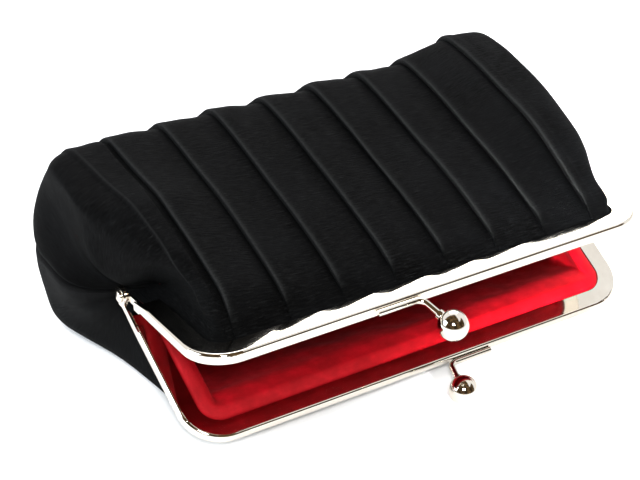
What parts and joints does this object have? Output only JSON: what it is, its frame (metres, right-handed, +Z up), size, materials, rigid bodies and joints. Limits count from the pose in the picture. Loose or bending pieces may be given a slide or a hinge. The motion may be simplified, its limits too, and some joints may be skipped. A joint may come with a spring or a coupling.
{
  "type": "clutch purse",
  "caption": "Pleated cloth clutch purse lying on its back, mouth part open on a riveted metal U frame shut by two crossing balls on bent rods, with a smooth bright lining.",
  "frame": {"origin": "middle of the bounding box's base, on the surface the purse lies on", "axes": "+X along the frame's bar and the hinge, +Z up from the surface it lies on, -Y towards the clasp"},
  "size_m": [0.2354, 0.1657, 0.0837],
  "materials": {
    "nickel": "polished nickel plate on pressed steel",
    "outer_cloth": "black slubbed silk weave, low sheen",
    "fleece": "white needled fleece",
    "lining": "bright red brushed satin",
    "paper_cord": "twisted kraft paper"
  },
  "bodies": {
    "rear": {"rear_frame": "nickel", "left_hinge_rivet": "nickel", "right_hinge_rivet": "nickel", "left_hinge_washer": "nickel", "right_hinge_washer": "nickel", "rear_clasp_stem": "nickel", "rear_clasp_collar": "nickel", "rear_clasp_ball": "nickel", "front_panel_fold": "outer_cloth", "front_panel": "outer_cloth", "rear_panel": "outer_cloth", "front_fleece_fold": "fleece", "front_fleece": "fleece", "rear_fleece": "fleece", "front_lining_fold": "lining", "front_lining": "lining", "rear_lining": "lining", "rear_paper_cord": "paper_cord"},
    "front": {"front_frame": "nickel", "front_clasp_stem": "nickel", "front_clasp_collar": "nickel", "front_clasp_ball": "nickel", "front_paper_cord": "paper_cord", "front_panel_flap": "outer_cloth", "front_fleece_flap": "fleece", "front_lining_flap": "lining"}
  },
  "joints": [
    {"name": "frame_hinge", "type": "hinge", "parent": "rear", "child": "front", "pos_m": [0, 0.00975, 0.04215], "axis": [-1, 0, 0], "range_deg": [-31, 50], "deforming": ["front_panel_fold", "front_fleece_fold", "front_lining_fold"]}
  ]
}
